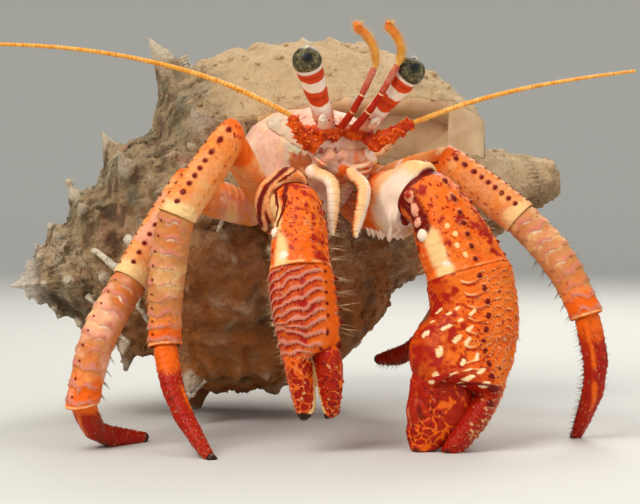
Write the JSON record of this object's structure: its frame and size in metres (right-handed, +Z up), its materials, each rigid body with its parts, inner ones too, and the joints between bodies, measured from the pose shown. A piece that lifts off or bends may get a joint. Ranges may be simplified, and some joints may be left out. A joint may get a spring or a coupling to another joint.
{
  "type": "hermit crab in a snail shell, life-size still model",
  "caption": "Still, life-size model of a red striated hermit crab carrying a spiny murex shell, on its claws, leg tips and the shell's underside.",
  "frame": {"origin": "on the floor, under the middle of the whole model's box", "axes": "+X to the crab's left and along its shell from the apex to the canal, -Y the way it faces, +Z up"},
  "size_m": [0.1086, 0.0882, 0.0692],
  "materials": {
    "shell_crust": "rough encrusted shell, grey-brown and tan, dull",
    "shield_plate": "hard carapace plate, tan mottled with red-brown, satin",
    "soft_skin": "soft thin skin, pink-beige with red-brown marks, slightly moist",
    "banded_stalk": "smooth cuticle banded orange-red and white, satin gloss",
    "cornea": "dark mottled grey-green cornea, glossy",
    "pale_plate": "hard pale cuticle, cream and pale orange, satin",
    "red_peduncle": "granular red cuticle, satin",
    "yellow_feeler": "thin ringed feeler, yellow-orange, satin",
    "orange_plate": "hard orange cuticle with ridges, granules and pale marks, satin",
    "leg_plate": "hard cuticle, cream and orange-pink with violet-red scalloped bands, satin",
    "red_finger": "hard red cuticle with pale granules and dark bristles, satin"
  },
  "bodies": {
    "root": {"abdomen": "soft_skin", "antenna_left": "red_peduncle", "antenna_right": "red_peduncle", "antenna_whip_left": "yellow_feeler", "antenna_whip_right": "yellow_feeler", "antennule_left": "red_peduncle", "antennule_right": "red_peduncle", "antennule_whip_left": "yellow_feeler", "antennule_whip_right": "yellow_feeler", "carapace_rear": "soft_skin", "claw_left_carpus": "orange_plate", "claw_left_dactyl": "red_finger", "claw_left_merus": "pale_plate", "claw_left_palm": "orange_plate", "claw_right_carpus": "orange_plate", "claw_right_dactyl": "red_finger", "claw_right_merus": "pale_plate", "claw_right_palm": "orange_plate", "eye_left": "cornea", "eye_right": "cornea", "eyestalk_left": "banded_stalk", "eyestalk_right": "banded_stalk", "face": "soft_skin", "leg_left2_carpus": "leg_plate", "leg_left2_dactyl": "red_finger", "leg_left2_merus": "leg_plate", "leg_left2_propodus": "leg_plate", "leg_left3_carpus": "leg_plate", "leg_left3_dactyl": "red_finger", "leg_left3_merus": "leg_plate", "leg_left3_propodus": "leg_plate", "leg_left4": "leg_plate", "leg_left5": "leg_plate", "leg_right2_carpus": "leg_plate", "leg_right2_dactyl": "red_finger", "leg_right2_merus": "leg_plate", "leg_right2_propodus": "leg_plate", "leg_right3_carpus": "leg_plate", "leg_right3_dactyl": "red_finger", "leg_right3_merus": "leg_plate", "leg_right3_propodus": "leg_plate", "leg_right4": "leg_plate", "leg_right5": "leg_plate", "maxilliped_left": "pale_plate", "maxilliped_right": "pale_plate", "ocular_scale_left": "pale_plate", "ocular_scale_right": "pale_plate", "shell": "shell_crust", "shield": "shield_plate", "thorax": "soft_skin"}
  },
  "joints": []
}
